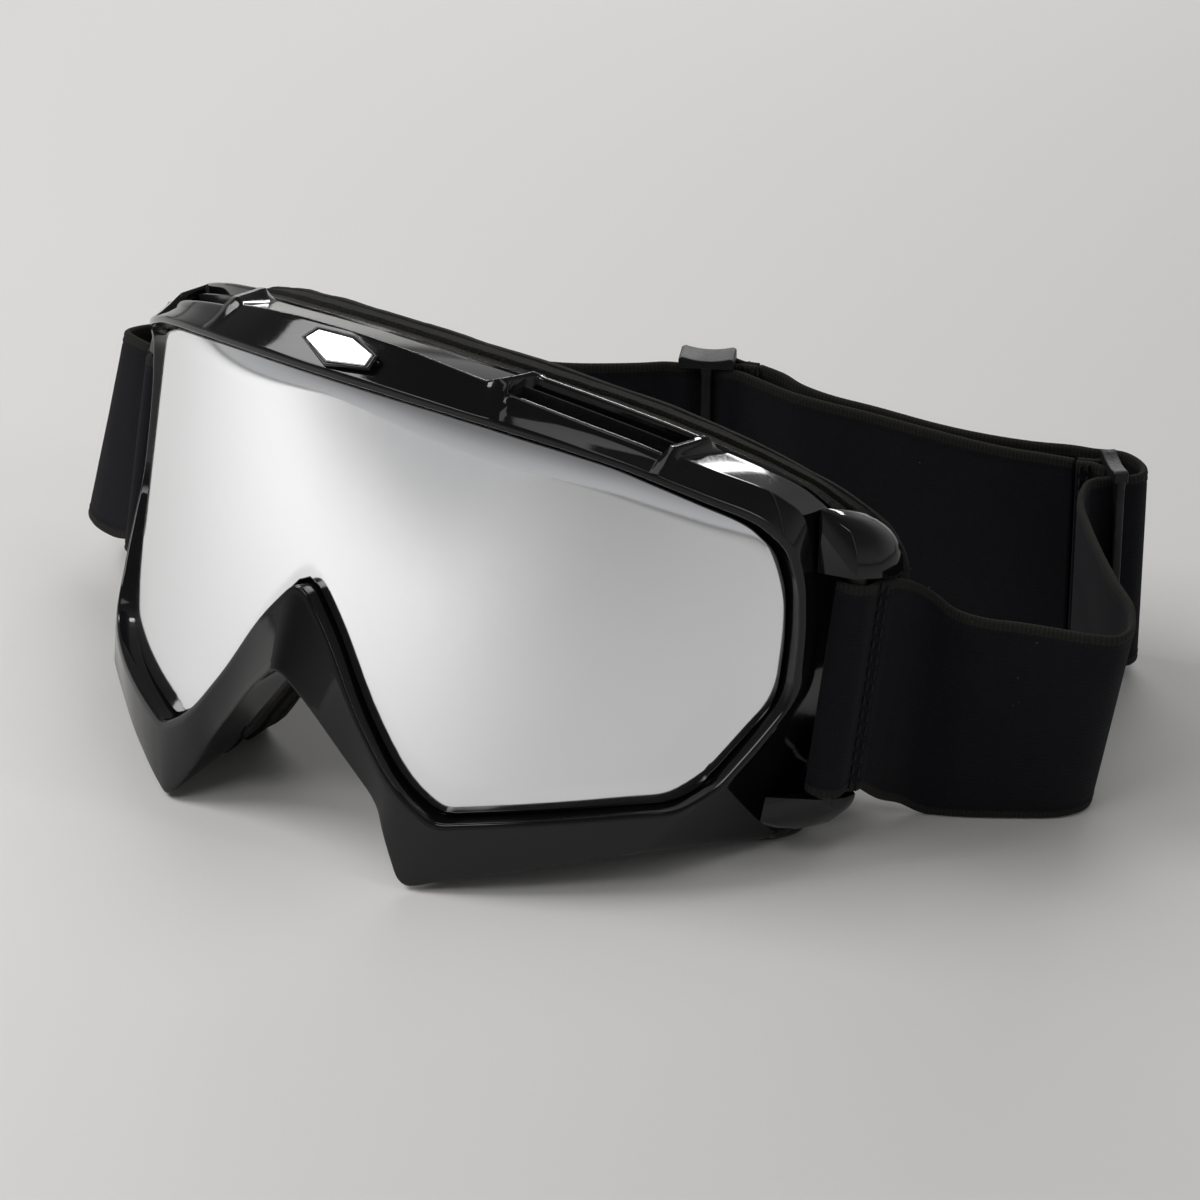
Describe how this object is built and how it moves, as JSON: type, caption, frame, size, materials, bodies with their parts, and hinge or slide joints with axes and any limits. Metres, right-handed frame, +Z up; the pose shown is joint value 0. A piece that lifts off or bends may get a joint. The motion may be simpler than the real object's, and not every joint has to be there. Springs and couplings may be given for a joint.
{
  "type": "motorcycle goggles",
  "caption": "Off-road goggles with a cylindrical mirror lens in a glossy angular frame, layered face foam and an elastic head strap with two adjusting sliders.",
  "frame": {"origin": "middle of the whole object's footprint, on the table that it stands on", "axes": "+X towards the wearer's left, +Y from the lens back to the head strap, +Z up"},
  "size_m": [0.2444, 0.166, 0.1006],
  "materials": {
    "gloss_shell": "high gloss moulded",
    "mirror_lens": "silver mirror coat",
    "bright_badge": "polished",
    "foam_base": "open-cell foam",
    "foam_middle": "soft foam",
    "fleece": "brushed fleece",
    "filter_foam": "open-cell filter foam",
    "bar_plastic": "satin",
    "thread": "polyester thread",
    "slider_plastic": "fine-grained matte",
    "elastic": "woven elastic webbing"
  },
  "bodies": {
    "goggle": {"frame_shell": "gloss_shell", "lens": "mirror_lens", "front_badge": "bright_badge", "foam_base": "foam_base", "foam_middle": "foam_middle", "foam_fleece": "fleece", "vent_louvre_left": "gloss_shell", "vent_louvre_right": "gloss_shell", "vent_filter_top_left": "filter_foam", "vent_filter_top_right": "filter_foam", "vent_filter_bottom_left": "filter_foam", "vent_filter_bottom_right": "filter_foam", "strap_bar_left": "bar_plastic", "strap_bar_right": "bar_plastic", "strap_left_side": "elastic", "strap_left_back": "elastic", "strap_right_side": "elastic", "strap_right_back": "elastic", "tail_outer_side": "elastic", "tail_outer_centre": "elastic", "tail_inner_side": "elastic", "tail_inner_centre": "elastic"},
    "left_loop": {"strap_loop_left": "elastic", "loop_stitching_left": "thread"},
    "right_loop": {"strap_loop_right": "elastic", "loop_stitching_right": "thread"},
    "centre_slider": {"slider_centre": "slider_plastic", "tail_loop_centre": "elastic", "tail_stitching_centre": "thread"},
    "side_slider": {"slider_side": "slider_plastic", "tail_loop_side": "elastic", "tail_stitching_side": "thread"}
  },
  "joints": [
    {"name": "left_loop_swivel", "type": "hinge", "parent": "goggle", "child": "left_loop", "pos_m": [0.0798, -0.01919, 0.03454], "axis": [0, 0.2284, 0.9736], "range_deg": [-16, 6], "deforming": ["strap_left_side"]},
    {"name": "right_loop_swivel", "type": "hinge", "parent": "goggle", "child": "right_loop", "pos_m": [-0.0934, -0.01919, 0.03454], "axis": [0, 0.2284, 0.9736], "range_deg": [-6, 16], "deforming": ["strap_right_side"]},
    {"name": "centre_slider_travel", "type": "slide", "parent": "goggle", "child": "centre_slider", "axis": [0.9404, 0.3401, 0], "range_m": [-0.01, 0.01], "deforming": ["strap_right_back", "tail_inner_centre", "tail_outer_centre"]},
    {"name": "side_slider_travel", "type": "slide", "parent": "goggle", "child": "side_slider", "axis": [-0.9752, -0.2212, 0], "range_m": [-0.003, 0.02], "deforming": ["strap_left_back", "tail_outer_side", "tail_inner_side"]}
  ]
}
